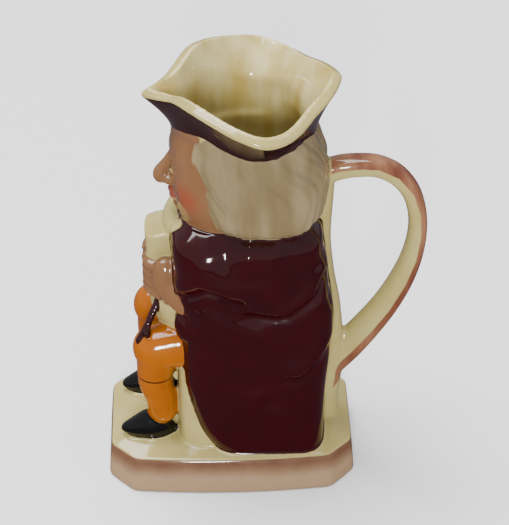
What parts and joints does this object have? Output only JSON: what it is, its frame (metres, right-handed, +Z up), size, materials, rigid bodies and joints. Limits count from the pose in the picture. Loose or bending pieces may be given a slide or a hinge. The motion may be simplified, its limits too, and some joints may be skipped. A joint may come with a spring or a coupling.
{
  "type": "toby jug",
  "caption": "Painted and glazed earthenware jug in the form of a seated man in a three-cornered hat that is its mouth, with a loop handle behind",
  "frame": {"origin": "centre of the flat underside of the plinth", "axes": "+Z up, -Y the way the man faces, +Y towards the handle, +X his left"},
  "size_m": [0.0808, 0.1307, 0.1822],
  "materials": {
    "glazed_earthenware": "cream lead glaze over cast earthenware, painted under the glaze in maroon, ochre, flesh, grey and brown"
  },
  "bodies": {
    "root": {"toby_jug": "glazed_earthenware"}
  },
  "joints": []
}
